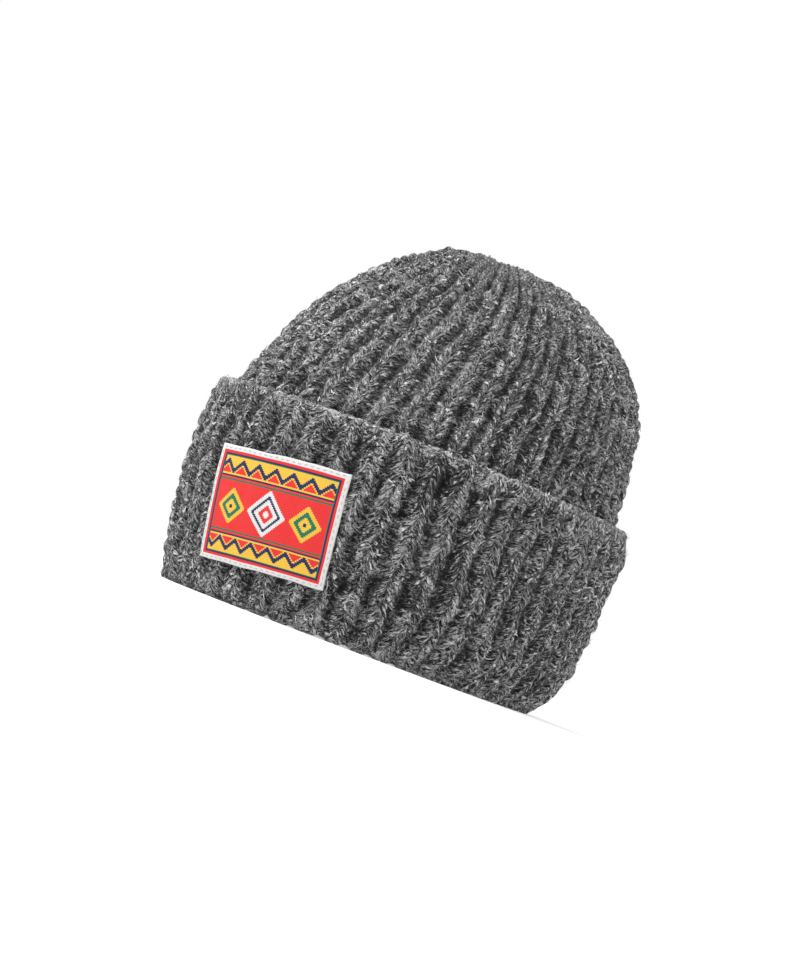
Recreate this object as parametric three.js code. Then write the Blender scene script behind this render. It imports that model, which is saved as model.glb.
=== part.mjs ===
// Ribbed wool beanie: a domed crown, a turned-up cuff whose fold takes the crown's lower edge,
// and a woven label on the front of the cuff.
// Millimetres, +Z up. The front of the hat faces -Y, and the fold rests on the plane z = 0.

import * as THREE from "three";

// The crown's form, measured over the tops of its ribs
const hatHeight = 184;
const halfLength = 103.3;
const halfWidth = 84.6;
const crownLean = 19.4;
const squareness = 2.15;
const gatherDimple = 2.5;

// The knit
const ribCount = 48;
const ribDepth = 2;
const crownWall = 4;
const cuffWall = 6;

// The cuff
const cuffHeight = 89;
const cuffEdgeRound = 2.5;
const foldHeight = 9;
const restFlat = 4;

// The label
const labelWidth = 63;
const labelHeight = 47;
const labelCentreHeight = 41;
const labelTilt = 4.4;
const labelThickness = 1.2;

// The gap that neighbouring pieces keep
const clearance = 0.5;

// Wool and thread
const woolColour = 0x4a4b4d;
const woolRoughness = 0.95;
const labelColour = 0xd9443f;
const labelRoughness = 0.8;

// Sections of the crown, from the ground to its top. Each column is a share of a named size:
// height of hatHeight, length of halfLength, width of halfWidth, and back, which is how far the
// section's middle lies behind the hat's axis, of crownLean.
const crownSections = [
  { height: 0.0, length: 0.835, width: 0.83, back: -0.5 },
  { height: 0.076, length: 0.928, width: 0.928, back: -0.04 },
  { height: 0.163, length: 0.968, width: 0.968, back: 0.05 },
  { height: 0.261, length: 0.989, width: 0.989, back: 0.0 },
  { height: 0.359, length: 0.998, width: 0.997, back: 0.0 },
  { height: 0.435, length: 0.994, width: 0.997, back: 0.07 },
  { height: 0.5, length: 0.962, width: 0.971, back: 0.04 },
  { height: 0.587, length: 0.918, width: 0.94, back: 0.29 },
  { height: 0.685, length: 0.863, width: 0.9, back: 0.62 },
  { height: 0.772, length: 0.783, width: 0.838, back: 0.86 },
  { height: 0.848, length: 0.671, width: 0.734, back: 0.96 },
  { height: 0.913, length: 0.528, width: 0.591, back: 0.93 },
  { height: 0.957, length: 0.392, width: 0.443, back: 0.75 },
  { height: 0.986, length: 0.24, width: 0.266, back: 0.6 },
  { height: 1.0, length: 0.0, width: 0.0, back: 0.5 },
];

// One rib takes three columns, placed by shares of its pitch: the two edges of its flat top, and
// the valley beside it.
const ribColumns = [
  { place: -0.2, raised: 1 },
  { place: 0.2, raised: 1 },
  { place: 0.5, raised: 0 },
];

// Reads one column of the section table at a level, where level 0 is its first row.
function readSection(column, level) {
  const last = crownSections.length - 1;
  const row = Math.min(Math.floor(level), last - 1);
  const share = level - row;
  const at = (index) => crownSections[THREE.MathUtils.clamp(index, 0, last)][column];
  const before = (at(row + 1) - at(row - 1)) / 2;
  const after = (at(row + 2) - at(row)) / 2;
  const square = share * share;
  const cube = square * share;
  return (
    at(row) * (2 * cube - 3 * square + 1) +
    before * (cube - 2 * square + share) +
    at(row + 1) * (3 * square - 2 * cube) +
    after * (cube - square)
  );
}

// The outline of a section at an angle from its front, for a half width and a half length.
function sectionOutline(angle, width, length) {
  const bulge = (value) => Math.sign(value) * Math.abs(value) ** (2 / squareness);
  return new THREE.Vector2(width * bulge(Math.sin(angle)), -length * bulge(Math.cos(angle)));
}

// The angles that share the fullest section's outline out into equal lengths, so that every rib is
// as wide as the next
const outlineSteps = 720;
const stepAngle = (2 * Math.PI) / outlineSteps;
const outlineLengths = [0];
for (let step = 1; step <= outlineSteps; step += 1) {
  const here = sectionOutline(step * stepAngle, halfWidth, halfLength);
  const before = sectionOutline((step - 1) * stepAngle, halfWidth, halfLength);
  outlineLengths.push(outlineLengths[step - 1] + here.distanceTo(before));
}

function angleAtTurn(turn) {
  const wholeTurns = Math.floor(turn);
  const length = (turn - wholeTurns) * outlineLengths[outlineSteps];
  const next = Math.max(outlineLengths.findIndex((reached) => reached > length), 1);
  const share = (length - outlineLengths[next - 1]) / (outlineLengths[next] - outlineLengths[next - 1]);
  return wholeTurns * 2 * Math.PI + (next - 1 + share) * stepAngle;
}

// A point of the smooth surface over the rib tops. Turn goes from 0 to 1 round the hat, from the
// front towards +X.
function surfacePoint(turn, level) {
  const width = halfWidth * readSection("width", level);
  const length = halfLength * readSection("length", level);
  const outline = sectionOutline(angleAtTurn(turn), width, length);
  const back = crownLean * readSection("back", level);
  return new THREE.Vector3(outline.x, outline.y + back, hatHeight * readSection("height", level));
}

// The outward normal of that surface.
function surfaceNormal(turn, level) {
  const step = 0.001;
  const round = surfacePoint(turn + step, level).sub(surfacePoint(turn - step, level));
  const upward = surfacePoint(turn, level + step).sub(surfacePoint(turn, Math.max(level - step, 0)));
  return round.cross(upward).normalize();
}

// A point at a distance outside the smooth surface, or inside it where the distance is negative.
function offsetPoint(turn, level, distance) {
  return surfacePoint(turn, level).addScaledVector(surfaceNormal(turn, level), distance);
}

// The level of the section table that lies at a height.
function levelAtHeight(height) {
  let low = 0;
  let high = crownSections.length - 1;
  for (let round = 0; round < 40; round += 1) {
    const middle = (low + high) / 2;
    if (hatHeight * readSection("height", middle) < height) {
      low = middle;
    } else {
      high = middle;
    }
  }
  return (low + high) / 2;
}

// Joins rings of equal length into one closed body. With two poles the body ends in a fan at each,
// and without them its last ring joins its first. The two sides of a rib are split alike, as mirror
// images.
function bodyFromRings(rings, poles) {
  const size = rings[0].length;
  const corners = rings.flat().concat(poles ?? []);
  const faces = [];
  const strips = poles ? rings.length - 1 : rings.length;
  for (let strip = 0; strip < strips; strip += 1) {
    const here = strip * size;
    const next = ((strip + 1) % rings.length) * size;
    for (let corner = 0; corner < size; corner += 1) {
      const beside = (corner + 1) % size;
      if (corner % ribColumns.length === 1) {
        faces.push(here + corner, next + corner, next + beside);
        faces.push(here + corner, next + beside, here + beside);
      } else {
        faces.push(here + corner, next + corner, here + beside);
        faces.push(here + beside, next + corner, next + beside);
      }
    }
  }
  if (poles) {
    const firstPole = rings.length * size;
    const lastRing = (rings.length - 1) * size;
    for (let corner = 0; corner < size; corner += 1) {
      const beside = (corner + 1) % size;
      faces.push(firstPole, corner, beside);
      faces.push(lastRing + corner, firstPole + 1, lastRing + beside);
    }
  }
  const geometry = new THREE.BufferGeometry().setFromPoints(corners);
  geometry.setIndex(faces);
  geometry.computeVertexNormals();
  return geometry;
}

function makePiece(name, geometry, colour, roughness) {
  const material = new THREE.MeshStandardMaterial({ color: colour, roughness, metalness: 0 });
  const piece = new THREE.Mesh(geometry, material);
  piece.name = name;
  return piece;
}

// A ring of points round the hat, whose ribs start at a share of a rib's pitch. Place gives a point
// from its turn and from whether it lies on a rib's top, 1, or in a valley, 0.
function ribbedRing(ribStart, place) {
  const ring = [];
  for (let rib = 0; rib < ribCount; rib += 1) {
    for (const column of ribColumns) {
      ring.push(place((rib + ribStart + column.place) / ribCount, column.raised));
    }
  }
  return ring;
}

// Levels at which the hidden faces of crown and cuff both have a row, so that they stay apart
const crownFootLevel = levelAtHeight(foldHeight + clearance);
const cuffEdgeLevel = levelAtHeight(cuffHeight - cuffEdgeRound);
const hiddenLevels = [1, 2].map((step) => THREE.MathUtils.lerp(crownFootLevel, cuffEdgeLevel, step / 3));

// The crown is a corrugated sheet: what stands out as a rib outside is a valley inside.
function makeCrown() {
  const apex = crownSections.length - 1;
  const narrowestStep = 0.3;
  const domeLevels = [];
  for (let level = Math.ceil(cuffEdgeLevel + narrowestStep); level < apex; level += 1) {
    domeLevels.push(level);
  }
  const outerLevels = [crownFootLevel, ...hiddenLevels, cuffEdgeLevel, ...domeLevels];
  const innerLevels = [crownFootLevel, hiddenLevels[1], cuffEdgeLevel, ...domeLevels.slice(0, -1)];
  const ribFade = (level) => Math.sqrt(readSection("length", level));
  const crownRing = (level, depth) =>
    ribbedRing(0, (turn, raised) =>
      offsetPoint(turn, level, -depth - ribDepth * ribFade(level) * (1 - raised)),
    );
  const outerRings = outerLevels.map((level) => crownRing(level, 0));
  const innerRings = innerLevels.map((level) => crownRing(level, crownWall));
  const outerPole = surfacePoint(0, apex);
  outerPole.z -= gatherDimple;
  const innerPole = outerPole.clone();
  innerPole.z -= crownWall;
  const rings = [...outerRings.reverse(), ...innerRings];
  return makePiece("crown", bodyFromRings(rings, [outerPole, innerPole]), woolColour, woolRoughness);
}

// The cuff's outer face lies this far outside the smooth surface over the crown's ribs, and the
// fold's inner face this far inside it.
const cuffStandOff = clearance + cuffWall;
const foldInset = crownWall + ribDepth;
const foldRadius = (cuffStandOff + foldInset) / 2;
const foldMiddle = (cuffStandOff - foldInset) / 2;
const flatAngle = Math.acos(restFlat / 2 / foldRadius);
const foldCentreHeight = foldRadius * Math.sin(flatAngle);

// The cuff is a J in section, closed round the hat. Its ribs stand on its outer face and go on
// under the fold, where they are half a rib round from the crown's.
function makeCuff() {
  // Ribs is 1 where they stand outwards, -1 where they stand inwards, and 0 on a smooth face. A
  // ring that is given a height is level.
  const cuffRing = (level, offset, ribs, height) =>
    ribbedRing(0.5, (turn, raised) => {
      const point = offsetPoint(turn, level, offset - ribDepth * ribs * (1 - raised));
      point.z = height ?? point.z;
      return point;
    });
  const rings = [];
  // Outer face, from the fold up to the edge, with its rows closer where it turns in to the fold
  const outerRows = 5;
  const crowding = 1.3;
  const lowestLevel = levelAtHeight(foldCentreHeight);
  for (let row = 0; row < outerRows; row += 1) {
    const share = (row / outerRows) ** crowding;
    const level = THREE.MathUtils.lerp(lowestLevel, cuffEdgeLevel, share);
    rings.push(cuffRing(level, cuffStandOff, 1));
  }
  rings.push(cuffRing(cuffEdgeLevel, cuffStandOff, 1, cuffHeight - cuffEdgeRound));
  // Free top edge
  const topLevel = levelAtHeight(cuffHeight);
  const edgeInset = Math.min(cuffEdgeRound, 0.4 * cuffWall);
  rings.push(cuffRing(topLevel, cuffStandOff - edgeInset, 0.5, cuffHeight));
  rings.push(cuffRing(topLevel, clearance + edgeInset, 0, cuffHeight));
  // Inner face, which lies on the crown
  for (const level of [cuffEdgeLevel, ...hiddenLevels.toReversed()]) {
    rings.push(cuffRing(level, clearance, 0));
  }
  rings.push(cuffRing(crownFootLevel, clearance, 0, foldHeight));
  // Lip under the crown's lower edge, and the fold
  rings.push(cuffRing(crownFootLevel, -foldInset, -1, foldHeight));
  const sideAngle = Math.PI / 5;
  const foldAngles = [Math.PI, Math.PI - sideAngle, Math.PI - flatAngle, flatAngle, sideAngle];
  for (const angle of foldAngles) {
    const height = Math.max(foldCentreHeight - foldRadius * Math.sin(angle), 0);
    const ribs = height > clearance ? Math.sign(Math.cos(angle)) : 0;
    rings.push(cuffRing(lowestLevel, foldMiddle + foldRadius * Math.cos(angle), ribs, height));
  }
  return makePiece("cuff", bodyFromRings(rings.reverse()), woolColour, woolRoughness);
}

// The label lies on the rib tops at the front of the cuff, a little askew.
function makeLabel() {
  const columns = 10;
  const rows = 5;
  const tilt = THREE.MathUtils.degToRad(labelTilt);
  const centreLevel = levelAtHeight(labelCentreHeight);
  const girthShare = readSection("width", centreLevel);
  const girth = outlineLengths[outlineSteps] * girthShare + 2 * Math.PI * cuffStandOff;
  const labelPoint = (across, upward, depth) => {
    const sideways = across * Math.cos(tilt) - upward * Math.sin(tilt);
    const height = across * Math.sin(tilt) + upward * Math.cos(tilt);
    const level = levelAtHeight(labelCentreHeight + height);
    return offsetPoint(sideways / girth, level, cuffStandOff + clearance + depth);
  };
  const rings = [];
  for (let column = 0; column <= columns; column += 1) {
    const across = (column / columns - 0.5) * labelWidth;
    const ring = [];
    for (let row = 0; row <= rows; row += 1) {
      ring.push(labelPoint(across, (row / rows - 0.5) * labelHeight, labelThickness));
    }
    for (let row = rows; row >= 0; row -= 1) {
      ring.push(labelPoint(across, (row / rows - 0.5) * labelHeight, 0));
    }
    rings.push(ring);
  }
  const ends = [-0.5, 0.5].map((side) => labelPoint(side * labelWidth, 0, labelThickness / 2));
  return makePiece("label", bodyFromRings(rings, ends), labelColour, labelRoughness);
}

const beanie = new THREE.Group();
beanie.add(makeCrown(), makeCuff(), makeLabel());

// The origin is the middle of the hat's outline, seen from above.
const outline = new THREE.Box3().setFromObject(beanie, true);
const middle = outline.getCenter(new THREE.Vector3());
beanie.position.set(-middle.x, -middle.y, -outline.min.z);

export default beanie;
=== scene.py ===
# Ribbed wool beanie: knitted crown and cuff with their stitches and loose fibres, and a woven
# label sewn to the front of the cuff. Sizes are in millimetres until a mesh is made.
import math

import bpy
import numpy as np
from mathutils import Matrix, Vector


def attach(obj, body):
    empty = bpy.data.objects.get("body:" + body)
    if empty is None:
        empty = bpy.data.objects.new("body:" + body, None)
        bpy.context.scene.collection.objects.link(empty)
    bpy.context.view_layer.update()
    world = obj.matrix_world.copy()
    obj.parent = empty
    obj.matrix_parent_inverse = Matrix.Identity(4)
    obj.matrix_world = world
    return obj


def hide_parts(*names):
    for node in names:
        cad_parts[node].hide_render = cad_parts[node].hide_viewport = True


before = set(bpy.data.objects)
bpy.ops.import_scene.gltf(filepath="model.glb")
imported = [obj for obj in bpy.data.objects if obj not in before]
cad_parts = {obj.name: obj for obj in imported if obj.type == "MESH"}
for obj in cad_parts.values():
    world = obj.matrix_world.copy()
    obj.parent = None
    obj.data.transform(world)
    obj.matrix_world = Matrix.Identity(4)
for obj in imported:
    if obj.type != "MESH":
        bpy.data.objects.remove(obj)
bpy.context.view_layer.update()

MM = 0.001

# The hat's form, as in the solids
HAT_HEIGHT = 184.0
HALF_LENGTH = 103.3
HALF_WIDTH = 84.6
CROWN_LEAN = 19.4
SQUARENESS = 2.15
GATHER_DIMPLE = 2.5
MIDDLE_SHIFT = 0.711
RIB_COUNT = 48
CUFF_HEIGHT = 89.0
CUFF_STAND_OFF = 6.5
CUFF_GAP = 0.5
FOLD_INSET = 6.0
FOLD_CENTRE_HEIGHT = 5.92
LIP_HEIGHT = 9.0
LABEL_WIDTH = 63.0
LABEL_HEIGHT = 47.0
LABEL_CENTRE_HEIGHT = 41.0
LABEL_TILT = 4.4
LABEL_THICKNESS = 1.2
SEWING_INSET = 1.15

# Sections of the hat from the ground up: height, length, width and back, as shares of
# HAT_HEIGHT, HALF_LENGTH, HALF_WIDTH and CROWN_LEAN
SECTIONS = np.array([
    (0.0, 0.835, 0.83, -0.5),
    (0.076, 0.928, 0.928, -0.04),
    (0.163, 0.968, 0.968, 0.05),
    (0.261, 0.989, 0.989, 0.0),
    (0.359, 0.998, 0.997, 0.0),
    (0.435, 0.994, 0.997, 0.07),
    (0.5, 0.962, 0.971, 0.04),
    (0.587, 0.918, 0.94, 0.29),
    (0.685, 0.863, 0.9, 0.62),
    (0.772, 0.783, 0.838, 0.86),
    (0.848, 0.671, 0.734, 0.96),
    (0.913, 0.528, 0.591, 0.93),
    (0.957, 0.392, 0.443, 0.75),
    (0.986, 0.24, 0.266, 0.6),
    (1.0, 0.0, 0.0, 0.5),
])
TOP_LEVEL = len(SECTIONS) - 1.0

# The knit: a stitch's legs rise by LEG_RISE from the edge of a rib to its middle, and yarn
# bridges the valleys between the ribs here and there
CUFF_STITCH = 6.2
CROWN_STITCH = 5.6
LEG_RISE = 6.4
LEG_SHARE = 0.37
USUAL_PITCH = 12.5
VALLEY_DEPTH = 3.4
DEEPEST_VALLEY = 3.7
VALLEY_BRIDGE = 1.6
STRAND_RAISE = 1.45
STRAND_TABLE = 64
SEAM_DEPTH = 0.65
RUNG_RAISE = 1.1
WIDE_LEG_SHARE = 0.4
WIDE_DEPTH = 2.4
LIE_STRAIGHTER = 0.4
KNIT_VALUES = ("depth", "tone", "ribs", "stitches")

# Slow unevenness of the knit: times round the hat, length along it, and height. Sway is a
# share of a turn.
DRIFT_PARTS = [(5, 90.0, 1.1), (9, -60.0, 0.9), (19, 140.0, 0.9), (29, -45.0, 0.6)]
BRIDGE_PARTS = [(41, 15.0, 0.45), (67, -21.0, 0.45), (23, 10.0, 0.35)]
SWAY_PARTS = [(7, 60.0, 0.0011), (13, -38.0, 0.0009), (21, 27.0, 0.0006)]
SWELL_PARTS = [
    (3, 95.0, 0.25), (6, -70.0, 0.25), (17, 45.0, 0.2), (31, 22.0, 0.22), (43, -33.0, 0.22),
]
LOOP_PARTS = [(53, 90.0, 0.15), (31, 70.0, 0.15)]

# Loose fibres: short wisps that lie on the yarn, and fine hairs that stand off it
WISP_LENGTH = 3.0
WISP_WIDTH = 0.24
HAIR_LENGTH = 4.0
HAIR_WIDTH = 0.08
HAIR_SHARE = 0.3
SHORTEST_FIBRE = 1.0
LONGEST_FIBRE = 6.5
SLUB_FIBRES = 7
SLUB_TONE = 0.88
FIBRE_TONES = (0.08, 0.35, 0.62, 1.0)
TONE_SHARES = (0.38, 0.23, 0.2, 0.19)
ABOVE_FLOOR = 0.15

UP = np.array([0.0, 0.0, 1.0])


def read_sections(level):
    """Height, length, width and back shares at levels of the section table."""
    last = len(SECTIONS) - 1
    row = np.clip(np.floor(level).astype(int), 0, last - 1)
    share = (level - row)[..., None]
    here = SECTIONS[row]
    above = SECTIONS[row + 1]
    before = (above - SECTIONS[np.maximum(row - 1, 0)]) / 2
    after = (SECTIONS[np.minimum(row + 2, last)] - here) / 2
    square = share**2
    cube = share**3
    return (
        here * (2 * cube - 3 * square + 1)
        + before * (cube - 2 * square + share)
        + above * (3 * square - 2 * cube)
        + after * (cube - square)
    )


FINE_LEVELS = np.linspace(0.0, TOP_LEVEL, 4001)
FINE_HEIGHTS = read_sections(FINE_LEVELS)[:, 0] * HAT_HEIGHT


def level_at(height):
    return np.interp(height, FINE_HEIGHTS, FINE_LEVELS)


def outline(angle, width, length):
    """Squared oval of a section, from the front towards +X."""
    power = 2 / SQUARENESS
    across = np.sign(np.sin(angle)) * np.abs(np.sin(angle)) ** power
    along = np.sign(np.cos(angle)) * np.abs(np.cos(angle)) ** power
    return width * across, -length * along


OUTLINE_ANGLES = np.linspace(0.0, 2 * math.pi, 721)
OUTLINE_X, OUTLINE_Y = outline(OUTLINE_ANGLES, HALF_WIDTH, HALF_LENGTH)
OUTLINE_STEPS = np.hypot(np.diff(OUTLINE_X), np.diff(OUTLINE_Y))
OUTLINE_RUN = np.concatenate([[0.0], np.cumsum(OUTLINE_STEPS)])
GIRTH = OUTLINE_RUN[-1]


def wall_point(turn, level):
    """Point of the smooth surface over the crown's ribs, at a turn round the hat."""
    whole = np.floor(turn)
    angle = np.interp((turn - whole) * GIRTH, OUTLINE_RUN, OUTLINE_ANGLES)
    shares = read_sections(level)
    x, y = outline(angle, HALF_WIDTH * shares[..., 2], HALF_LENGTH * shares[..., 1])
    y = y + CROWN_LEAN * shares[..., 3] + MIDDLE_SHIFT
    return np.stack([x, y, HAT_HEIGHT * shares[..., 0]], axis=-1)


def unit(vectors):
    return vectors / np.maximum(np.linalg.norm(vectors, axis=-1, keepdims=True), 1e-9)


def wall_normal(turn, level):
    step = 0.001
    level = np.minimum(level, TOP_LEVEL - 0.02)
    around = wall_point(turn + step, level) - wall_point(turn - step, level)
    low = np.maximum(level - step, 0.0)
    upward = wall_point(turn, level + step) - wall_point(turn, low)
    return unit(np.cross(around, upward))


def smooth(value, low, high):
    """0 below low, 1 above high, and an even curve between."""
    share = np.clip((value - low) / (high - low), 0.0, 1.0)
    return share * share * (3 - 2 * share)


def waves(turn, run, seed, parts):
    """Slow unevenness over the hat. Each part gives times round, length along, and height."""
    rng = np.random.default_rng(seed)
    total = np.zeros(np.broadcast(turn, run).shape)
    for times, length, height in parts:
        phase = rng.uniform(0, 2 * math.pi)
        total += height * np.sin(2 * math.pi * (times * turn + run / length) + phase)
    return total


# A path says, at each run along a sheet of knit, on which level it lies, how far outside the
# wall, how far above that, and which way it faces: 0 outward, pi / 2 down, pi inward.
def make_path(rows):
    names = ("run", "level", "offset", "rise", "facing")
    return dict(zip(names, np.array(rows, dtype=float).T))


def cuff_path():
    rows = [(0.0, level_at(LIP_HEIGHT), -FOLD_INSET, 0.0, math.pi)]
    radius = (CUFF_STAND_OFF + FOLD_INSET) / 2
    middle = (CUFF_STAND_OFF - FOLD_INSET) / 2
    start = LIP_HEIGHT - FOLD_CENTRE_HEIGHT
    fold_level = level_at(FOLD_CENTRE_HEIGHT)
    for facing in np.linspace(math.pi, 0.0, 33):
        run = start + radius * (math.pi - facing)
        offset = middle + radius * math.cos(facing)
        rows.append((run, fold_level, offset, -radius * math.sin(facing), facing))
    run = rows[-1][0]
    edge_radius = (CUFF_STAND_OFF - CUFF_GAP) / 2
    edge_height = CUFF_HEIGHT - edge_radius
    for height in np.linspace(FOLD_CENTRE_HEIGHT, edge_height, 60)[1:]:
        outer_run = run + height - FOLD_CENTRE_HEIGHT
        rows.append((outer_run, level_at(height), CUFF_STAND_OFF, 0.0, 0.0))
    run = rows[-1][0]
    edge_level = level_at(edge_height)
    edge_middle = CUFF_GAP + edge_radius
    for facing in np.linspace(0.0, -math.pi, 17)[1:]:
        offset = edge_middle + edge_radius * math.cos(facing)
        rise = -edge_radius * math.sin(facing)
        rows.append((run - edge_radius * facing, edge_level, offset, rise, facing))
    run = rows[-1][0]
    for height in np.linspace(edge_height, LIP_HEIGHT + CUFF_GAP, 9)[1:]:
        inner_run = run + edge_height - height
        rows.append((inner_run, level_at(height), CUFF_GAP, 0.0, -math.pi))
    return make_path(rows)


def meridian_runs(levels, offset):
    """Mean length of the wall's sections from the first level to each."""
    turn = (np.arange(8)[None, :] + 0.5) / 8
    level = levels[:, None] + 0 * turn
    points = wall_point(turn, level) + offset * wall_normal(turn, level)
    steps = np.linalg.norm(np.diff(points, axis=0), axis=2).mean(axis=1)
    return np.concatenate([[0.0], np.cumsum(steps)])


def crown_path(foot_height, offset, facing, direction):
    """From the crown's foot to its top; direction gives the sign of the run."""
    levels = np.linspace(level_at(foot_height), TOP_LEVEL - 0.03, 300)
    runs = direction * meridian_runs(levels, offset)
    rows = [(run, level, offset, 0.0, facing) for run, level in zip(runs, levels)]
    if direction < 0:
        rows = rows[::-1]
    return make_path(rows)


def pitch_at(level):
    """Width of one rib at a level."""
    return read_sections(level)[..., 2] * GIRTH / RIB_COUNT


def follow(path, turn, run, lift):
    """Points of a sheet, raised from its path by lift, and the way that the path faces."""
    level, offset, rise, facing = (
        np.interp(run, path["run"], path[name]) for name in ("level", "offset", "rise", "facing")
    )
    normal = wall_normal(turn, level)
    outward = np.cos(facing)[..., None] * normal - np.sin(facing)[..., None] * UP
    points = wall_point(turn, level) + offset[..., None] * normal + rise[..., None] * UP
    return points + lift[..., None] * outward, outward


def stitch_relief(place, stitch, leg_share, depth, tables):
    """Height of the knit, how far it belongs to a stitch's leg, and the yarn's thickness.

    Place goes across a rib from -0.5 to 0.5, and stitch counts stitches along it."""
    rib, thickness, raise_by = tables
    reach = np.abs(place) / leg_share
    leg = 1 - smooth(reach, 0.86, 1.14)
    count = np.floor(stitch).astype(int)
    side = (place > 0).astype(int)
    pick = (rib % RIB_COUNT, side, count % thickness.shape[2])
    share = stitch - count
    round_top = (4 * share * (1 - share)) ** 0.75
    tuck = smooth(reach, 0.0, 0.4) * (1 - 0.45 * smooth(reach, 0.6, 1.0))
    strand = STRAND_RAISE * thickness[pick] * round_top * (0.55 + 0.45 * tuck)
    strand = strand + raise_by[pick] * round_top
    groove = -SEAM_DEPTH * np.exp(-((place / 0.045) ** 2))
    dome = -depth * smooth(np.abs(place), 0.5 * leg_share, 0.5)
    rung_share = 0.5 - 0.5 * np.cos(4 * math.pi * stitch)
    rung = RUNG_RAISE * thickness[pick] * rung_share * (1 - leg)
    relief = dome + leg * (strand + groove - STRAND_RAISE * 0.75) + rung
    return relief, leg, thickness[pick]


def stitch_tables(seed, rib):
    """How thick each strand is and how far it stands up, for both legs of a rib's stitches."""
    rng = np.random.default_rng(seed)
    size = (RIB_COUNT, 2, STRAND_TABLE)
    thickness = np.clip(rng.normal(1.0, 0.26, size), 0.4, 1.6)
    raise_by = np.clip(rng.normal(0.0, 0.36, size), -0.7, 0.7)
    return rib, thickness, raise_by


def rib_columns(per_rib):
    """Places of a rib's columns, closer together on its stitches than in the valley."""
    half = per_rib // 2
    inner = np.linspace(0.0, 1.0, half + 1)[:-1] * (LEG_SHARE + 0.055)
    return np.concatenate([[-0.5], -inner[:0:-1], inner])


def knit_grid(path, rows, per_rib, rib_phase, lean, stitch, fades, seed, merges=False):
    """Rows by columns of points, with what the material needs of the knit at each.

    Lean is 1 where a stitch points along the run and -1 where it points back. Fades are the
    runs between which the grid's rows follow the stitches' legs."""
    places = rib_columns(per_rib)
    ribs = np.repeat(np.arange(RIB_COUNT), len(places))
    place = np.tile(places, RIB_COUNT)[None, :]
    turn = np.broadcast_to((ribs + place + rib_phase) / RIB_COUNT, (len(rows), len(ribs)))
    start, full, full_end, end = fades
    base = rows[:, None]
    follow_legs = np.clip((base - start) / (full - start), 0, 1)
    follow_legs = follow_legs * np.clip((end - base) / (end - full_end), 0, 1)
    level = np.interp(rows, path["run"], path["level"])
    pitch = pitch_at(level)[:, None]
    leg_share = LEG_SHARE + 0.11 * (1 - smooth(pitch, 6.0, 9.5))
    reach = np.minimum(np.abs(place) / leg_share, 1.0)
    rise = LEG_RISE * np.clip(pitch / USUAL_PITCH, 0, 1.1) * reach**0.85
    run = base - lean * rise * follow_legs
    drift = waves(turn, run, seed, DRIFT_PARTS)
    stitches = (run + lean * rise + drift) / stitch
    tables = stitch_tables(seed, ribs[None, :])
    shade = smooth(pitch, 2.2, 7.5)
    depth = 0.7 + (VALLEY_DEPTH - 0.7) * shade
    relief, leg, tone = stitch_relief(
        np.broadcast_to(place, turn.shape), lean * stitches, leg_share, depth, tables
    )
    if merges:
        for groups, low, high in ((24, 2.5, 3.7), (12, 1.1, 1.8)):
            wide = turn * groups
            wide_place = wide - np.floor(wide) - 0.5
            wide_tables = stitch_tables(seed + groups, np.floor(wide).astype(int))
            wide_pitch = pitch * RIB_COUNT / groups
            wide_rise = 2 * LEG_RISE * np.clip(wide_pitch / USUAL_PITCH, 0, 1)
            wide_rise = wide_rise * np.abs(wide_place)
            wide_stitches = (run + lean * wide_rise + drift) / stitch
            merged = stitch_relief(
                wide_place, lean * wide_stitches, WIDE_LEG_SHARE, WIDE_DEPTH, wide_tables
            )
            keep = smooth(pitch, low, high)
            relief, leg, tone = (
                keep * old + (1 - keep) * new for old, new in zip((relief, leg, tone), merged)
            )
    bridges = smooth(waves(turn, run, seed + 11, BRIDGE_PARTS), 0.1, 0.8)
    relief = relief + VALLEY_BRIDGE * bridges * (1 - leg) * smooth(pitch, 4.0, 8.0)
    sway = waves(turn, run, seed + 7, SWAY_PARTS)
    swell = waves(turn, run, seed + 9, SWELL_PARTS)
    return {
        "turn": turn + sway,
        "run": run,
        "relief": relief + swell,
        # depth: 0 down in a valley, 1 up on a rib; the materials paint shade in the valleys by it
        "depth": np.clip((relief + VALLEY_DEPTH + 0.4) / (VALLEY_DEPTH + 1.2), 0, 1),
        "tone": tone,
        "stitches": stitches - LIE_STRAIGHTER * lean * rise / stitch,
        "ribs": turn * RIB_COUNT - rib_phase,
        "pitch": pitch + 0 * turn,
        "columns": len(ribs),
    }


def ring_faces(rows, columns, closed, flip):
    """Rows and columns of the corners of the quads that join a stack of rings."""
    strips = rows if closed else rows - 1
    place = np.arange(strips * columns)[:, None]
    down = np.array([0, 1, 1, 0])
    along = np.array([0, 0, 1, 1])
    if flip:
        down, along = down[::-1], along[::-1]
    return place // columns + down, place % columns + along


def new_piece(name, points, faces, material):
    """A mesh object from points in millimetres, riding on the hat."""
    mesh = bpy.data.meshes.new(name)
    mesh.from_pydata((points * MM).tolist(), [], faces)
    mesh.polygons.foreach_set("use_smooth", [True] * len(mesh.polygons))
    mesh.materials.append(material)
    piece = bpy.data.objects.new(name, mesh)
    bpy.context.scene.collection.objects.link(piece)
    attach(piece, "root")
    return piece


def pairs(first, second):
    return np.stack([first, second], axis=-1).reshape(-1, 2)


def add_value(piece, name, values):
    layer = piece.data.attributes.new(name, "FLOAT", "POINT")
    layer.data.foreach_set("value", np.asarray(values, dtype=np.float32).ravel())


def add_map(piece, name, coordinates):
    layer = piece.data.uv_layers.new(name=name)
    layer.data.foreach_set("uv", np.asarray(coordinates, dtype=np.float32).ravel())


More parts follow.
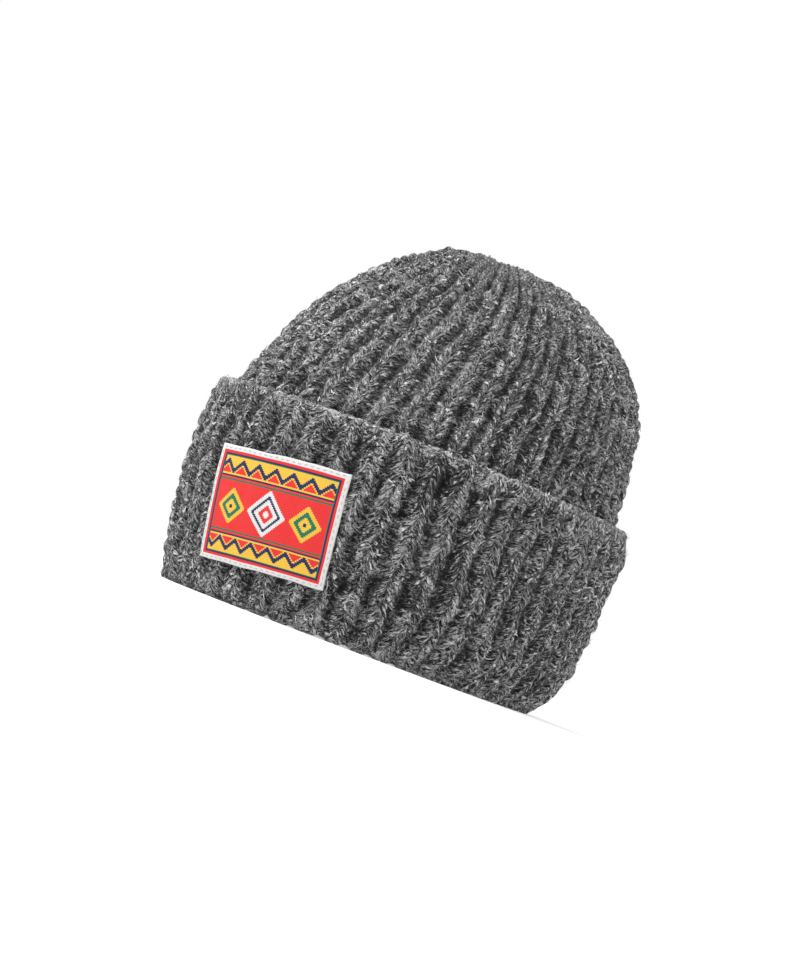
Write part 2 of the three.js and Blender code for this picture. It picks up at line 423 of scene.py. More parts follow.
def bake_places(row, column, rows, columns, heights):
    """Quarters of the hat laid side by side in a unit square."""
    quarter = columns // 4
    part = column.min(axis=1, keepdims=True) // quarter
    across = (column - part * quarter) / quarter
    margin = 0.004
    span = 0.5 - 2 * margin
    u = (part % 2) * 0.5 + margin + across * span
    v = (part // 2) * 0.5 + margin + heights[row] * span
    return pairs(u, v)


def ring_body(name, points, grid, material, poles=None, flip=False):
    """A closed body of rings, joined end to end, or closed by a pole at each end."""
    rows, columns = points.shape[:2]
    closed = poles is None
    row, column = ring_faces(rows, columns, closed, flip)
    faces = ((row % rows) * columns + column % columns).tolist()
    corners = points.reshape(-1, 3)
    if not closed:
        ring = np.arange(columns)[:, None]
        after = (ring + 1) % columns
        corners = np.concatenate([corners, poles])
        first = rows * columns
        last = (rows - 1) * columns
        start_fan = np.hstack([first + 0 * ring, ring, after])
        end_fan = np.hstack([last + ring, first + 1 + 0 * ring, last + after])
        fans = np.concatenate([start_fan, end_fan])
        faces += (fans[:, ::-1] if flip else fans).tolist()
    piece = new_piece(name, corners, faces, material)
    extra = 0 if closed else 2
    # The poles take a middling depth and tone; the depth sets their painted valley shade.
    for value in ("depth", "tone"):
        add_value(piece, value, np.concatenate([grid[value].ravel(), [0.3] * extra]))
    steps = np.linalg.norm(np.diff(points, axis=0), axis=2).mean(axis=1) + 0.05
    heights = np.concatenate([[0.0], np.cumsum(steps), [np.sum(steps) + 2.0]])
    heights = heights / heights[-1]
    ribs = grid["ribs"][0][column % columns] + RIB_COUNT * (column // columns)
    stitches = grid["stitches"][row % rows, column % columns]
    lie = pairs(ribs, stitches)
    bake = bake_places(row, column, rows, columns, heights)
    if not closed:
        share = np.repeat(np.arange(columns) / columns, 3)
        low = pairs(share, np.tile([0.0, 0.001, 0.001], columns))
        lie = np.concatenate([lie, low, low])
        bake = np.concatenate([bake, 0.001 + 0.002 * low, 0.997 + 0.002 * low])
    add_map(piece, "knit", lie)
    add_map(piece, "OFBake", bake)
    return piece


def gather_top(points):
    """The small hollow where the crown is drawn together, with its folds."""
    x = points[..., 0]
    y = points[..., 1] - MIDDLE_SHIFT - CROWN_LEAN * SECTIONS[-1, 3]
    reach = np.hypot(x, y)
    folds = 0.5 + 0.5 * np.cos(12 * np.arctan2(y, x))
    sunk = GATHER_DIMPLE * np.exp(-((reach / 8.0) ** 2))
    sunk = sunk + 1.1 * folds * np.exp(-(((reach - 9.0) / 8.0) ** 2))
    return points - (sunk * (points[..., 2] > 120))[..., None] * UP


def backing_rows(grid, path, runs, under_rib, under_valley):
    """The hidden back of a knitted face, inside the thickness of the knit."""
    columns = grid["columns"]
    turn = np.broadcast_to(grid["turn"][:1], (len(runs), columns))
    level = np.interp(runs, path["run"], path["level"])[:, None] + 0 * turn
    place = grid["ribs"][:1] - np.floor(grid["ribs"][:1] + 0.5)
    valley = 0.5 - 0.5 * np.cos(2 * math.pi * place)
    depth = under_rib + (under_valley - under_rib) * valley + 0 * turn
    points = wall_point(turn, level) + depth[..., None] * wall_normal(turn, level)
    zero = np.zeros(turn.shape)
    return points, {
        # Depth 0 gives the hidden back the darkest painted valley shade.
        "depth": zero,
        "tone": zero + 1.0,
        "ribs": np.broadcast_to(grid["ribs"][:1], turn.shape),
        "stitches": zero + (runs / CROWN_STITCH)[:, None],
    }


def below_gather(grid, path, low, high):
    """0 at the gather, where the ribs are narrower than low, and 1 where wider than high."""
    level = np.interp(grid["run"], path["run"], path["level"])
    return smooth(pitch_at(level), low, high)


def close_dome(name, grid, path, lift, back_runs, under, pole_depths, material, flip=False):
    """The knitted face of a dome with its hidden back, closed by a point at the top of each."""
    points, grid["outward"] = follow(path, grid["turn"], grid["run"], lift)
    grid["points"] = gather_top(points)
    grid["face_rows"] = len(points)
    back, back_grid = backing_rows(grid, path, back_runs, *under)
    body = np.concatenate([grid["points"][::-1], gather_top(back)])
    both = {value: np.concatenate([grid[value][::-1], back_grid[value]]) for value in KNIT_VALUES}
    apex = gather_top(wall_point(np.array([0.0]), np.array([TOP_LEVEL])))[0]
    poles = np.array([apex - depth * UP for depth in pole_depths])
    piece = ring_body(name, body, both, material, poles, flip)
    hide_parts("crown")
    return grid


def label_girth():
    """Length round the outside of the cuff, at the height of the label's middle."""
    share = read_sections(np.array([level_at(LABEL_CENTRE_HEIGHT)]))[0, 2]
    return GIRTH * share + 2 * math.pi * CUFF_STAND_OFF


def under_label(turn, height):
    """True where the label lies over the cuff."""
    tilt = math.radians(LABEL_TILT)
    sideways = (turn - np.round(turn)) * label_girth()
    upward = height - LABEL_CENTRE_HEIGHT
    x = sideways * math.cos(tilt) + upward * math.sin(tilt)
    y = upward * math.cos(tilt) - sideways * math.sin(tilt)
    return (np.abs(x) < LABEL_WIDTH / 2 + 0.3) & (np.abs(y) < LABEL_HEIGHT / 2 + 0.3)


def make_cuff(material):
    """The cuff, from the crown's foot round the fold, up its face and down behind it."""
    path = cuff_path()
    end = path["run"][-1]
    face_end = path["run"][path["facing"] < -1.5][0]
    face_rows = np.arange(0.0, face_end, CUFF_STITCH / 8)
    over_rim = np.linspace(face_end, face_end + 6.0, 6)
    down_inside = np.linspace(face_end + 6.0, end, 9)[1:]
    rows = np.concatenate([face_rows, over_rim, down_inside])
    fades = (0.0, 14.0, face_end - 16.0, face_end)
    grid = knit_grid(path, rows, 12, 0.5, 1, CUFF_STITCH, fades, seed=11)

    def past_edge(low, high):
        return smooth(grid["run"], face_end + low, face_end + high)

    hidden = past_edge(-3.0, 3.0)
    near_edge = past_edge(-11.0, -4.5)
    # Painted highlight: the top of the rim, where light catches it, gets paler fibres.
    rim_painted_highlight = past_edge(-5.0, -2.5) * (1 - past_edge(0.0, 3.0))
    welt = 0.15 * np.cos(2 * math.pi * grid["ribs"])
    at_fold = smooth(grid["run"], 6.0, 13.0) * (1 - smooth(grid["run"], 18.0, 31.0))
    relief = grid["relief"] * (1 - 0.9 * near_edge - 0.45 * at_fold) + welt * near_edge
    loops = past_edge(-5.0, -2.0) * (1 - past_edge(2.0, 5.0))
    loop_size = 0.55 + waves(grid["turn"], grid["run"], 41, LOOP_PARTS)
    loops = loops * loop_size * np.abs(np.sin(2 * math.pi * grid["ribs"]))
    lift = relief * (1 - hidden) - 0.4 * hidden + loops
    points, grid["outward"] = follow(path, grid["turn"], grid["run"], lift)
    points[..., 2] = np.maximum(points[..., 2], 0.0)
    grid["points"] = points
    grid["face_rows"] = len(face_rows) + len(over_rim)
    # Painted light on the rim: near the edge its valleys get less painted shade. At the fold the
    # painted valley shade is lessened too, and the tone is a little paler.
    rim_painted_light = 0.85 + 0.07 * np.cos(2 * math.pi * grid["ribs"])
    depth = grid["depth"]
    depth = depth + (np.maximum(depth, rim_painted_light) - depth) * near_edge
    grid["depth"] = np.minimum(depth + 0.2 * at_fold, 1.0)
    grid["tone"] = grid["tone"] + 0.4 * rim_painted_highlight + 0.12 * at_fold
    grid["covered"] = under_label(grid["turn"], points[..., 2])
    piece = ring_body("cuff_knit", points, grid, material, flip=True)
    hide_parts("cuff")
    return grid


def make_crown(material):
    """The outside of the crown, with coarse rows as far as the cuff hides it."""
    path = crown_path(LIP_HEIGHT + CUFF_GAP, 0.0, 0.0, 1)
    top = path["run"][-1]
    shown = np.interp(level_at(CUFF_HEIGHT - 14.0), path["level"], path["run"])
    rows = np.concatenate([
        np.linspace(0.0, shown, 9)[:-1],
        np.arange(shown, top - 0.6, CROWN_STITCH / 6),
        [top],
    ])
    fades = (shown, shown + 14.0, top - 52.0, top - 34.0)
    grid = knit_grid(path, rows, 10, 0.0, -1, CROWN_STITCH, fades, seed=23, merges=True)
    relief = np.maximum(grid["relief"], -DEEPEST_VALLEY) * below_gather(grid, path, 0.1, 0.9)
    lift = relief - 0.3 * (1 - smooth(grid["run"], shown - 4, shown + 4))
    grid["covered"] = grid["run"] < shown - 2.0
    back_runs = np.concatenate([np.linspace(0.0, 40.0, 8)[:-1], np.linspace(40.0, top, 11)])
    return close_dome(
        "crown_knit", grid, path, lift, back_runs, (-2.5, -4.2), (0.0, 3.4), material
    )


def make_inside(material):
    """The inside of the crown, whose rows run down from the rim with a falling run."""
    path = crown_path(LIP_HEIGHT, -FOLD_INSET - 0.3, math.pi, -1)
    top = path["run"][0]
    near_rim = np.arange(0.0, -78.0, -CUFF_STITCH / 5)
    deeper = np.arange(near_rim[-1], top + 2.0, -CUFF_STITCH / 3)[1:]
    rows = np.concatenate([near_rim, deeper, [top]])
    fades = (top + 60.0, top + 74.0, -14.0, 0.0)
    grid = knit_grid(path, rows, 8, 0.5, 1, CUFF_STITCH, fades, seed=11)
    below = below_gather(grid, path, 1.2, 4.0)
    relief = 0.75 * np.maximum(grid["relief"], -DEEPEST_VALLEY)
    lift = relief * below - 0.4 * (1 - below)
    grid["covered"] = grid["run"] > 1.0
    back_runs = np.concatenate([np.linspace(0.0, -40.0, 8)[:-1], np.linspace(-40.0, top, 10)])
    under = (-4.5, -2.9)
    return close_dome(
        "crown_inside", grid, path, lift, back_runs, under, (6.2, 3.7), material, flip=True
    )


def pick_roots(grid, count, rng):
    """Random places on a knitted face, even over its area, and the ways that it lies there."""
    points = grid["points"]
    across = np.roll(points, -1, axis=1) - points
    upward = np.diff(points, axis=0, append=points[-1:])
    normals = np.cross(across, upward)
    area = np.linalg.norm(normals, axis=2)
    area[grid["covered"]] = 0
    area[grid["face_rows"] - 1 :] = 0
    area = area.ravel()
    cells = rng.choice(len(area), size=count, p=area / area.sum())
    row, column = np.divmod(cells, points.shape[1])
    right = (column + 1) % points.shape[1]
    share = rng.random((count, 1))
    climb = rng.random((count, 1))
    low = points[row, column] * (1 - share) + points[row, right] * share
    high = points[row + 1, column] * (1 - share) + points[row + 1, right] * share
    roots = low * (1 - climb) + high * climb
    outward, depth, pitch = (grid[name][row, column] for name in ("outward", "depth", "pitch"))
    return roots, unit(normals[row, column]), unit(across[row, column]), outward, depth, pitch


def make_fibres(name, grid, count, slubs, seed, material, flip):
    """Loose wool fibres: thin bent ribbons that end in a point. The first of them lie in
    bunches on the ribs, as the pale slubs of the yarn."""
    rng = np.random.default_rng(seed)
    bunched = slubs * SLUB_FIBRES
    roots, normals, lies, outward, depth, pitch = pick_roots(grid, count, rng)
    normals = normals * flip
    is_hair = rng.random((count, 1)) < HAIR_SHARE
    is_slub = np.arange(count)[:, None] < bunched
    on_rib = (depth > 0.6) & (rng.random(count) * 12 < pitch)
    leaders = rng.choice(np.flatnonzero(on_rib), slubs)
    chosen = np.arange(count)
    chosen[:bunched] = np.repeat(leaders, SLUB_FIBRES)
    normals, lies, outward = normals[chosen], lies[chosen], outward[chosen]
    narrow = np.clip(pitch[chosen] / 10.0, 0.4, 1.0)[:, None]

    def standing(ways):
        """The part of each way that stands off the knit."""
        return (ways * outward).sum(axis=1, keepdims=True) * outward

    scatter = rng.normal(0, 0.38, (count, 3)) * is_slub
    roots = roots[chosen] + scatter - standing(scatter)
    is_hair = is_hair & ~is_slub
    length = rng.gamma(5.0, 0.2, (count, 1)) * np.where(is_hair, HAIR_LENGTH, WISP_LENGTH)
    length = length * np.where(is_slub, 0.5, narrow)
    length = np.clip(length, SHORTEST_FIBRE, LONGEST_FIBRE)
    forward = np.where(rng.random((count, 1)) < 0.5, -1.0, 1.0)
    sideways = np.cross(normals, lies)
    stand = np.abs(rng.normal(0.0, 0.12, (count, 1))) + 0.12 * is_hair
    way = forward * lies + rng.normal(0, 1.6, (count, 1)) * sideways
    way = unit(unit(way - 0.8 * standing(way)) + stand * outward)
    curl = rng.normal(0, 1, (count, 3))
    curl = unit(curl - 0.8 * standing(curl))
    usual_width = np.where(is_hair, HAIR_WIDTH, WISP_WIDTH)
    half_width = rng.uniform(0.65, 1.35, (count, 1)) / 2 * usual_width
    half_width = half_width * np.where(is_slub, 1.9, narrow**0.5)
    point = roots + np.where(is_slub, 0.1, -0.35) * normals
    lines = [point]
    for bend in range(3):
        point = point + way * length / 3
        lines.append(point)
        way = unit(way + 0.6 * curl - (0.14 + 0.08 * bend) * outward)
    flat = unit(np.cross(lines[2] - lines[0], rng.normal(0, 1, (count, 3)) + normals))
    corners = []
    for step, share in ((0, 0.45), (1, 1.0), (2, 0.75)):
        aside = flat * half_width * share
        corners += [lines[step] - aside, lines[step] + aside]
    corners.append(lines[3])
    corners = np.stack(corners, axis=1)
    corners[..., 2] = np.maximum(corners[..., 2], ABOVE_FLOOR)
    cells = math.ceil(math.sqrt(count))
    place = np.arange(count)[:, None]
    u = np.array([0.1, 0.9, 0.1, 0.9, 0.1, 0.9, 0.5])
    v = np.array([0.1, 0.1, 0.4, 0.4, 0.7, 0.7, 0.95])
    faces = []
    maps = []
    for order in ([0, 1, 3, 2], [2, 3, 5, 4], [4, 5, 6]):
        faces += (7 * place + np.array(order)).tolist()
        maps.append(pairs((place % cells + u[order]) / cells, (place // cells + v[order]) / cells))
    piece = new_piece(name, corners.reshape(-1, 3), faces, material)
    tone = rng.choice(FIBRE_TONES, size=count, p=TONE_SHARES)
    tone = np.clip(tone + rng.normal(0, 0.08, count), 0, 0.95)
    tone = np.where(is_slub[:, 0], SLUB_TONE, tone)
    add_value(piece, "tone", np.repeat(tone, 7))
    # Each fibre takes the depth of the knit at its root, for painted valley shade.
    add_value(piece, "depth", np.repeat(depth[chosen], 7))
    shading = np.repeat(unit(normals + 0.5 * outward + 0.35 * curl), 7, axis=0)
    piece.data.normals_split_custom_set_from_vertices(shading.tolist())
    add_map(piece, "OFBake", np.concatenate(maps))


def label_points(across, upward, depth):
    """Points on the label, which lies a little askew on the ribs of the cuff."""
    tilt = math.radians(LABEL_TILT)
    sideways = across * math.cos(tilt) - upward * math.sin(tilt)
    height = across * math.sin(tilt) + upward * math.cos(tilt)
    turn = sideways / label_girth()
    level = level_at(LABEL_CENTRE_HEIGHT + height)
    offset = CUFF_STAND_OFF + CUFF_GAP + depth
    return wall_point(turn, level) + offset[..., None] * wall_normal(turn, level)


def step_to(value, grain):
    """The middle of the step that a value falls in."""
    return np.floor(value / grain) * grain + grain / 2


def label_colours(x, y):
    """Thread colours of the woven pattern: a border, zigzag bands and three stepped diamonds."""
    white = (0.69, 0.685, 0.67)
    red = (0.72, 0.03, 0.03)
    yellow = (0.78, 0.47, 0.05)
    navy = (0.012, 0.022, 0.085)
    green = (0.01, 0.16, 0.085)
    grain = 0.7
    step_x = step_to(np.abs(x), grain)
    step_y = np.abs(step_to(y, grain))
    colours = np.empty(x.shape + (3,))
    colours[:] = red

    high = np.abs(y)
    band = high > 11.2
    colours[band] = yellow
    colours[(high > 9.7) & (high < 10.4)] = green
    colours[band & (high < 12.0)] = navy
    zigzag = np.abs((step_x % 8.4) - 4.2)
    zig_height = step_y - 13.3
    colours[band & (np.abs(zig_height - zigzag) < 0.8)] = navy
    colours[band & (zig_height < zigzag - 1.6) & (high > 12.5)] = red

    main = step_x + step_y
    for reach, colour in ((9.5, white), (7.4, navy), (6.0, white), (3.9, red), (1.8, white)):
        colours[~band & (main < reach)] = colour
    beside = np.abs(step_x - 18.2) + step_y
    for reach, colour in ((7.4, yellow), (5.3, green), (3.2, yellow), (1.2, navy)):
        colours[~band & (beside < reach)] = colour

    edge = np.minimum(LABEL_WIDTH / 2 - np.abs(x), LABEL_HEIGHT / 2 - high)
    for reach, colour in ((4.3, green), (3.7, navy), (3.1, red), (2.2, white)):
        colours[edge < reach] = colour
    return colours


def label_faces(rows, columns, back_rows):
    """Faces of the label: its woven front first, then its plain back and its four edges."""
    wide = columns + 1
    spans = len(back_rows) - 1
    first = (rows + 1) * wide

    def sheet(start, strips, order):
        place = np.arange(strips * columns)[:, None]
        return (start + place // columns * wide + place % columns + np.array(order)).tolist()

    faces = sheet(0, rows, [0, 1, wide + 1, wide])
    faces += sheet(first, spans, [0, wide, wide + 1, 1])
    for place in range(columns):
        for near, far in ((first, 0), (rows * wide, first + spans * wide)):
            faces.append([near + place, near + place + 1, far + place + 1, far + place])
    for span in range(spans):
        near = first + span * wide
        held = range(back_rows[span] * wide, back_rows[span + 1] * wide + 1, wide)
        left = [near, *held, near + wide]
        faces += [left, [corner + columns for corner in left[::-1]]]
    return faces


def make_label(material):
    """The label's woven face, its edges, and a plain back with fewer rows."""
    columns = 180
    rows = 134
    spans = 6
    x = np.linspace(-0.5, 0.5, columns + 1)[None, :] * LABEL_WIDTH
    y = np.linspace(-0.5, 0.5, rows + 1)[:, None] * LABEL_HEIGHT
    across, upward = np.broadcast_arrays(x, y)
    from_side = LABEL_WIDTH / 2 - np.abs(across)
    from_end = LABEL_HEIGHT / 2 - np.abs(upward)
    edge = np.minimum(from_side, from_end)
    rounding = np.sqrt(np.clip(edge / 0.5, 0, 1))
    hem = 0.22 * smooth(edge, 0.1, 0.5) * (1 - smooth(edge, 2.0, 2.4))
    stitched = -0.16 * np.exp(-(((edge - SEWING_INSET) / 0.4) ** 2))
    over_ribs = 0.18 * np.cos(2 * math.pi * (across / 13.2 + 0.5)) * smooth(edge, 1.0, 8.0)
    depth = LABEL_THICKNESS * (0.72 + 0.18 * rounding) + hem + stitched + over_ribs
    wander = 0.18 * np.sin(upward / 5.1 + 0.7) + 0.1 * np.sin(upward / 2.3)
    lean = 0.15 * np.sin(across / 6.3) + 0.08 * np.sin(across / 2.7 + 1.0)
    x_bent = across + wander * (1 - smooth(from_side, 0.0, 4.0))
    y_bent = upward + lean * (1 - smooth(from_end, 0.0, 4.0))
    face = label_points(x_bent, y_bent, depth)
    back_rows = np.linspace(0, rows, spans + 1).astype(int)
    flat_back = np.zeros((spans + 1, columns + 1))
    back = label_points(x_bent[back_rows], y_bent[back_rows], flat_back)
    faces = label_faces(rows, columns, back_rows)
    points = np.concatenate([face.reshape(-1, 3), back.reshape(-1, 3)])
    piece = new_piece("label_weave", points, faces, material)
    middle_x = (x[0, :-1] + x[0, 1:]) / 2
    middle_y = (y[:-1, 0] + y[1:, 0]) / 2
    cell_x, cell_y = np.meshgrid(middle_x, middle_y)
    shades = label_colours(cell_x, cell_y).reshape(-1, 3)
    thread_rng = np.random.default_rng(5)
    shades = shades * thread_rng.uniform(0.93, 1.04, (len(shades), 1))
    back_shade = label_colours(np.array([0.0]), np.array([LABEL_HEIGHT / 2]))
    rest = len(faces) - len(shades)
    shades = np.concatenate([shades, np.repeat(back_shade, rest, axis=0)])
    sizes = np.array([len(corners) for corners in faces])
    loops = np.repeat(np.hstack([shades, np.ones((len(shades), 1))]), sizes, axis=0)
    layer = piece.data.color_attributes.new("thread_colour", "FLOAT_COLOR", "CORNER")
    layer.data.foreach_set("color", loops.astype(np.float32).ravel())
    flat = np.concatenate([pairs(across, upward), pairs(across[back_rows], upward[back_rows])])
    corners = np.concatenate([np.array(face) for face in faces])
    weave = flat[corners]
    add_map(piece, "weave", weave)
    bake = weave / np.array([LABEL_WIDTH, LABEL_HEIGHT]) + 0.5
    plain = np.repeat(np.arange(len(faces)) >= rows * columns, sizes)[:, None]
    bake = np.where(plain, bake * [0.98, 0.01], bake * [0.98, 0.97] + [0, 0.015])
    add_map(piece, "OFBake", bake + [0.01, 0.002])
    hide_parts("label")


def make_label_thread(material):
    """The short stitches that sew the label down, one behind the other along its border."""
    reach_x = LABEL_WIDTH / 2 - SEWING_INSET
    reach_y = LABEL_HEIGHT / 2 - SEWING_INSET
    pitch = 2.75
    places = []
    for side in (-1, 1):
        for x in np.arange(-reach_x + 1.2, reach_x - 0.6, pitch):
            places.append((x, side * reach_y, 1.0, 0.0))
        for y in np.arange(-reach_y + 1.2, reach_y - 0.6, pitch):
            places.append((side * reach_x, y, 0.0, 1.0))
    rng = np.random.default_rng(31)
    points = []
    faces = []
    sides = 6
    for x, y, along_x, along_y in places:
        length = 1.75 + rng.normal(0, 0.08)
        shift = rng.normal(0, 0.08)
        start = len(points)
        for share, girth in ((0.0, 0.35), (0.15, 0.9), (0.5, 1.0), (0.85, 0.9), (1.0, 0.35)):
            along = (share - 0.5) * length
            middle_x = x + along_x * along + along_y * shift
            middle_y = y + along_y * along + along_x * shift
            sink = 0.22 * (2 * share - 1) ** 4
            for side in range(sides):
                angle = 2 * math.pi * side / sides
                aside = 0.24 * girth * math.cos(angle)
                above = 0.2 * girth * math.sin(angle)
                place = (middle_x + along_y * aside, middle_y + along_x * aside)
                points.append((*place, LABEL_THICKNESS * 0.9 + 0.12 + above - sink))
        shell = []
        for low in range(start, start + 4 * sides, sides):
            for side in range(sides):
                after = (side + 1) % sides
                shell.append([low + side, low + after, low + after + sides, low + side + sides])
        cap = list(range(start, start + sides))
        shell += [cap[::-1], [corner + 4 * sides for corner in cap]]
        faces += shell if along_x else [face[::-1] for face in shell]
    flat = np.array(points)
    placed = label_points(flat[:, 0], flat[:, 1], flat[:, 2])
    new_piece("label_thread", placed, faces, material)


def fill_inputs(tree, node, given):
    """Sets or links inputs of a node by name or number."""
    for name, value in given.items():
        if isinstance(value, bpy.types.NodeSocket):
            tree.links.new(value, node.inputs[name])
        else:
            node.inputs[name].default_value = value


def add_node(tree, kind, given, **settings):
    node = tree.nodes.new("ShaderNode" + kind)
    for name, value in settings.items():
        setattr(node, name, value)
    fill_inputs(tree, node, given)
    return node


def calculate(tree, operation, first, second=0.0, clamp=False):
    inputs = {0: first, 1: second}
    return add_node(tree, "Math", inputs, operation=operation, use_clamp=clamp).outputs[0]


def multiply(tree, first, second, clamp=False):
    return calculate(tree, "MULTIPLY", first, second, clamp)


def add_share(tree, first, second, share):
    """The first value and a share of the second."""
    return calculate(tree, "ADD", first, multiply(tree, second, share))


def mix_colours(tree, share, first, second, blend="MIX"):
    inputs = {0: share, 6: first, 7: second}
    return add_node(tree, "Mix", inputs, data_type="RGBA", blend_type=blend).outputs[2]


def remap(tree, value, low, high, to_low=0.0, to_high=1.0):
    inputs = {
        "Value": value, "From Min": low, "From Max": high, "To Min": to_low, "To Max": to_high,
    }
    return add_node(tree, "MapRange", inputs, interpolation_type="SMOOTHSTEP").outputs[0]


def shade_colour(tree, colour, shade):
    """A colour made darker by a shade from 0 to 1."""
    grey = add_node(tree, "CombineColor", {0: shade, 1: shade, 2: shade})
    return mix_colours(tree, 1.0, colour, grey.outputs[0], blend="MULTIPLY")


def add_bump(tree, surface, height, strength, distance):
    inputs = {"Height": height, "Strength": strength, "Distance": distance}
    fill_inputs(tree, surface, {"Normal": add_node(tree, "Bump", inputs).outputs[0]})


def set_finish(tree, surface, colour, roughness, specular, sheen=0.0):
    given = {"Base Color": colour, "Roughness": roughness, "Sheen Weight": sheen}
    fill_inputs(tree, surface, {**given, "Specular IOR Level": specular})


def new_group(name, inputs, outputs):
    """A node group. The usual value of each input and output also tells its kind."""
    tree = bpy.data.node_groups.new(name, "ShaderNodeTree")
    for in_out, sockets in (("INPUT", inputs), ("OUTPUT", outputs)):
        for socket, value in sockets.items():
            kind = "NodeSocket" + {1: "Float", 3: "Vector", 4: "Color"}[np.size(value)]
            made = tree.interface.new_socket(name=socket, in_out=in_out, socket_type=kind)
            made.default_value = value
    return tree, tree.nodes.new("NodeGroupInput"), tree.nodes.new("NodeGroupOutput")


def multiply_vector(tree, vector, sizes):
    given = {0: vector, 1: sizes}
    return add_node(tree, "VectorMath", given, operation="MULTIPLY").outputs[0]


def place_group(tree, group, given):
    return add_node(tree, "Group", given, node_tree=group)


def make_fibre_streaks():
    """Fibres that lie along the yarn: fine streaks, their height, and the pale slubs."""
    tree, given, gives = new_group(
        "Fibre streaks",
        {"Lie": (0.0, 0.0, 0.0), "Slub Share": 0.5},
        {"Streaks": 0.0, "Slubs": 0.0, "Height": 0.0},
    )
    lie = given.outputs["Lie"]
    ruffle = add_node(tree, "TexNoise", {"Vector": lie, "Scale": 3.1, "Detail": 3.0})
    ruffled = multiply_vector(tree, ruffle.outputs["Color"], (0.4, 0.75, 0.0))
    bent = add_node(tree, "VectorMath", {0: lie, 1: ruffled}, operation="ADD").outputs[0]

    def streak(stretch, detail, roughness):
        inputs = {"Vector": multiply_vector(tree, bent, stretch), "Scale": 1.0}
        inputs.update({"Detail": detail, "Roughness": roughness})
        return add_node(tree, "TexNoise", inputs).outputs["Fac"]

    plies = streak((7.0, 7.5, 1.0), 3.0, 0.6)
    hairs = streak((17.0, 18.0, 1.0), 4.0, 0.65)
    flecks = streak((8.5, 5.0, 1.0), 1.5, 0.5)
    both = multiply(tree, calculate(tree, "ADD", plies, hairs), 0.5)
    streaks = remap(tree, both, 0.415, 0.6)
    slub_reach = multiply(tree, given.outputs["Slub Share"], 0.3)
    slub_edge = calculate(tree, "SUBTRACT", 0.86, slub_reach)
    slubs = multiply(tree, calculate(tree, "SUBTRACT", flecks, slub_edge), 14.0, clamp=True)
    height = add_share(tree, both, slubs, 0.12)
    fill_inputs(tree, gives, {"Streaks": streaks, "Slubs": slubs, "Height": height})
    return tree


def make_marl(streaks_group):
    """Marled wool: dark, middle and light fibres spun together, with painted shade down in the
    valleys.
    """
    tree, given, gives = new_group(
        "Marled wool",
        {
            "Lie": (0.0, 0.0, 0.0),
            "Tone": 1.0,
            "Depth": 1.0,
            "Slub Share": 0.85,
            "Valley Painted Shade": 0.93,
            "Dark": (0.004, 0.004, 0.0045, 1),
            "Middle": (0.062, 0.062, 0.064, 1),
            "Light": (0.42, 0.42, 0.425, 1),
        },
        {"Color": (0.0, 0.0, 0.0, 1), "Height": 0.0},
    )
    source = given.outputs
    inputs = {"Lie": source["Lie"], "Slub Share": source["Slub Share"]}
    fibres = place_group(tree, streaks_group, inputs)
    paler = calculate(tree, "SUBTRACT", source["Tone"], 1.0)
    toned = add_share(tree, fibres.outputs["Streaks"], paler, 0.45)
    low = mix_colours(tree, remap(tree, toned, 0.05, 0.55), source["Dark"], source["Middle"])
    high = mix_colours(tree, remap(tree, toned, 0.5, 1.0), low, source["Light"])
    slubbed = mix_colours(tree, fibres.outputs["Slubs"], high, (0.66, 0.66, 0.66, 1))
    # Painted shade: the colour is darkened where the knit's depth is low, down in the valleys
    # between ribs and strands.
    shade = remap(tree, source["Depth"], 0.05, 0.84)
    floor = calculate(tree, "SUBTRACT", 1.0, source["Valley Painted Shade"])
    lit = add_share(tree, floor, shade, source["Valley Painted Shade"])
    colour = shade_colour(tree, slubbed, lit)
    fill_inputs(tree, gives, {"Color": colour, "Height": fibres.outputs["Height"]})
    return tree


def new_material(name):
    material = bpy.data.materials.new(name)
    material.use_nodes = True
    tree = material.node_tree
    return material, tree, tree.nodes["Principled BSDF"]


def read_value(tree, name):
    return add_node(tree, "Attribute", {}, attribute_name=name).outputs["Fac"]


def knit_material(name, marl):
    material, tree, surface = new_material(name)
    inputs = {
        "Lie": add_node(tree, "UVMap", {}, uv_map="knit").outputs[0],
        "Tone": read_value(tree, "tone"),
        "Depth": read_value(tree, "depth"),
    }
    wool = place_group(tree, marl, inputs)
    add_bump(tree, surface, wool.outputs["Height"], 0.9, 0.0012)
    set_finish(tree, surface, wool.outputs["Color"], 0.95, 0.08, 0.1)
    surface.inputs["Sheen Roughness"].default_value = 0.6
    return material


def fibre_material(name):
    dark = (0.005, 0.005, 0.006, 1)
    middle = (0.1, 0.1, 0.103, 1)
    light = (0.75, 0.75, 0.75, 1)
    material, tree, surface = new_material(name)
    tone = read_value(tree, "tone")
    low = mix_colours(tree, remap(tree, tone, 0.0, 0.5), dark, middle)
    high = mix_colours(tree, remap(tree, tone, 0.5, 1.0), low, light)
    # Painted shade: fibres lying down in the knit's valleys are darker.
    lit = remap(tree, read_value(tree, "depth"), 0.1, 0.9, 0.12, 1.0)
    set_finish(tree, surface, shade_colour(tree, high, lit), 0.8, 0.1, 0.15)
    return material


